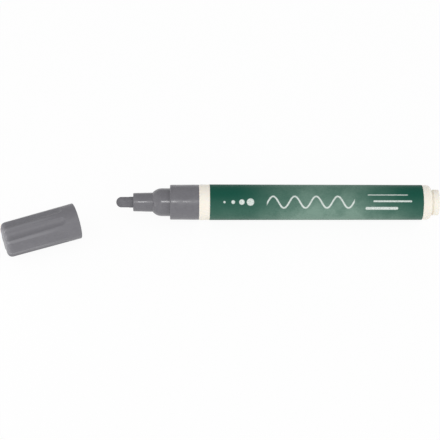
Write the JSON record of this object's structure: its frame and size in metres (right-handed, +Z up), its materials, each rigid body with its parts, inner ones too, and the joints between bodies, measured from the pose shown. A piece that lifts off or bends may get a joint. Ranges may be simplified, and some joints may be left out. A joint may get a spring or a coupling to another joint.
{
  "type": "liquid chalk marker",
  "caption": "Liquid chalk marker lying uncapped: labelled barrel, stepped nose with a round fibre nib over a spring valve, a loose mixing ball, and a fluted cap taken off beside it.",
  "frame": {"origin": "on the marker's axis at the collar's front face, where the rim of the cap seats on the neck", "axes": "+X along the marker from nib to tail, +Z up from the table that marker and cap lie on"},
  "size_m": [0.1832, 0.0335, 0.015],
  "materials": {
    "barrel_plastic": "smooth cream moulding",
    "label_film": "printed chalkboard green film",
    "grey_plastic": "satin grey moulding",
    "nib_fibre": "pressed fibre soaked with grey ink",
    "felt": "felt",
    "valve_plastic": "natural white moulding",
    "seal_rubber": "soft black rubber",
    "spring_steel": "drawn stainless wire",
    "ball_steel": "polished steel",
    "liner_plastic": "soft natural moulding"
  },
  "bodies": {
    "marker": {"barrel": "barrel_plastic", "label_wrap": "label_film", "rear_plug": "barrel_plastic", "nose_section": "grey_plastic", "nib_felt": "felt", "valve_housing": "valve_plastic", "valve_spring": "spring_steel", "valve_retainer": "valve_plastic"},
    "nib": {"nib": "nib_fibre"},
    "valve_stem": {"valve_stem": "valve_plastic", "valve_seal": "seal_rubber"},
    "mixing_ball": {"mixing_ball": "ball_steel"},
    "cap": {"cap_shell": "grey_plastic", "inner_cap": "liner_plastic"}
  },
  "joints": [
    {"name": "valve_lift", "type": "slide", "parent": "marker", "child": "valve_stem", "axis": [1, 0, 0], "range_m": [0, 0.002], "stiffness_N_per_m": 600, "deforming": ["valve_spring"]},
    {"name": "nib_press", "type": "slide", "parent": "marker", "child": "nib", "axis": [1, 0, 0], "range_m": [0, 0.002]},
    {"name": "ball_run", "type": "slide", "parent": "marker", "child": "mixing_ball", "axis": [1, 0, 0], "range_m": [-0.03556, 0.0368]},
    {"name": "cap_pull", "type": "slide", "parent": "marker", "child": "cap", "axis": [-0.9464, -0.3231, 0], "range_m": [-0.012, 0.04]}
  ],
  "couplings": [
    {"joint": "nib_press", "follows": "valve_lift", "ratio": 1}
  ]
}
